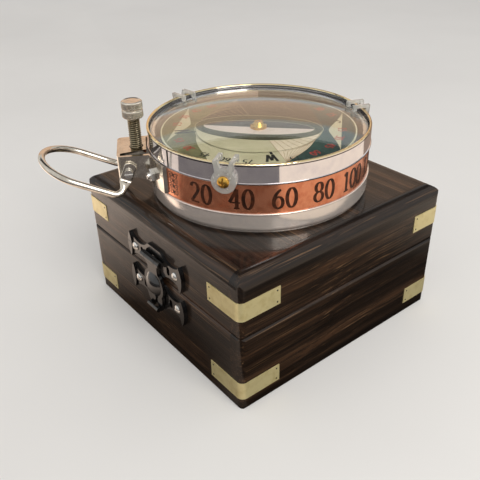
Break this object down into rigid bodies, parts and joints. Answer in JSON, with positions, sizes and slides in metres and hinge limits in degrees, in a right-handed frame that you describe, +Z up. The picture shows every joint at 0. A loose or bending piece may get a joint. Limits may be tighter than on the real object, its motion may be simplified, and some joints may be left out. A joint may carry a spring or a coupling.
{
  "type": "box compass",
  "caption": "Drum compass with a domed glass, a thumbscrew bracket and a swinging wire loop, standing on its hinged hardwood box with brass corners and a hasp.",
  "frame": {"origin": "centre of the box's underside, on the surface that it stands on", "axes": "+Z up, -Y out of the face with the hasp, +X to the right seen from that face; the lid's hinges are at +Y"},
  "size_m": [0.1276, 0.1606, 0.1145],
  "materials": {
    "wood": "dark streaky hardwood with a semi-gloss varnish",
    "strap_brass": "pale satin brass",
    "black_enamel": "glossy black enamel on brass",
    "screw_steel": "bright steel screws and nuts",
    "hinge_brass": "plain rolled brass",
    "chrome": "polished chrome plate on brass",
    "copper": "etched and polished copper strip",
    "glass": "thick clear domed glass",
    "pivot_brass": "turned and polished brass",
    "clear_plastic": "clear moulded plastic",
    "nickel": "nickel plated steel with light wear",
    "dark_steel": "blackened steel",
    "card": "printed matt card"
  },
  "bodies": {
    "base": {"base_front_board": "wood", "base_back_board": "wood", "base_left_board": "wood", "base_right_board": "wood", "base_bottom_panel": "wood", "base_corner_straps": "strap_brass", "catch_plate": "black_enamel", "catch_screws": "screw_steel", "hinge_base_leaves": "hinge_brass", "hinge_base_screws": "hinge_brass", "hinge_pins": "hinge_brass"},
    "lid": {"lid_front_board": "wood", "lid_back_board": "wood", "lid_left_board": "wood", "lid_right_board": "wood", "lid_top_panel": "wood", "lid_corner_straps": "strap_brass", "hasp_plate": "black_enamel", "hasp_screws": "screw_steel", "hasp_pin": "black_enamel", "hinge_lid_leaves": "hinge_brass", "hinge_lid_screws": "hinge_brass"},
    "hasp": {"hasp_tongue": "black_enamel"},
    "case": {"case_pan": "chrome", "copper_band": "copper", "bezel_ring": "chrome", "dome_glass": "glass", "pivot_post": "pivot_brass", "glass_clips": "clear_plastic", "clip_screws": "pivot_brass", "bracket": "nickel", "bracket_bolts": "screw_steel", "bracket_nuts": "screw_steel", "screw_bridge": "dark_steel", "loop_screws": "screw_steel"},
    "loop": {"wire_loop": "nickel"},
    "foot": {"clamp_foot": "dark_steel"},
    "screw": {"thumbscrew": "nickel"},
    "card": {"compass_card": "card", "card_magnets": "dark_steel", "card_cap": "pivot_brass"}
  },
  "joints": [
    {"name": "lid_hinge", "type": "hinge", "parent": "base", "child": "lid", "pos_m": [0, 0.0656, 0.0395], "axis": [-1, 0, 0], "range_deg": [0, 95]},
    {"name": "hasp_hinge", "type": "hinge", "parent": "lid", "child": "hasp", "pos_m": [0.002, -0.0665, 0.0502], "axis": [-1, 0, 0], "range_deg": [0, 150]},
    {"name": "compass_lift", "type": "slide", "parent": "lid", "child": "case", "axis": [0, 0, 1], "range_m": [0, 0.05]},
    {"name": "card_spin", "type": "hinge", "parent": "case", "child": "card", "pos_m": [0, 0, 0.0965], "axis": [0, 0, 1], "continuous": true},
    {"name": "loop_swing", "type": "hinge", "parent": "case", "child": "loop", "pos_m": [-0.0316, -0.05473, 0.0846], "axis": [-0.866, 0.5, 0], "range_deg": [-32, 121]},
    {"name": "clamp_travel", "type": "slide", "parent": "case", "child": "foot", "axis": [0, 0, 1], "range_m": [-0.0128, 0.0008]},
    {"name": "thumbscrew_turn", "type": "hinge", "parent": "foot", "child": "screw", "pos_m": [-0.02935, -0.05084, 0.1], "axis": [0, 0, 1], "range_deg": [-4613, 293]}
  ],
  "couplings": [
    {"joint": "thumbscrew_turn", "follows": "clamp_travel", "rad_per_m": 6283.2}
  ]
}
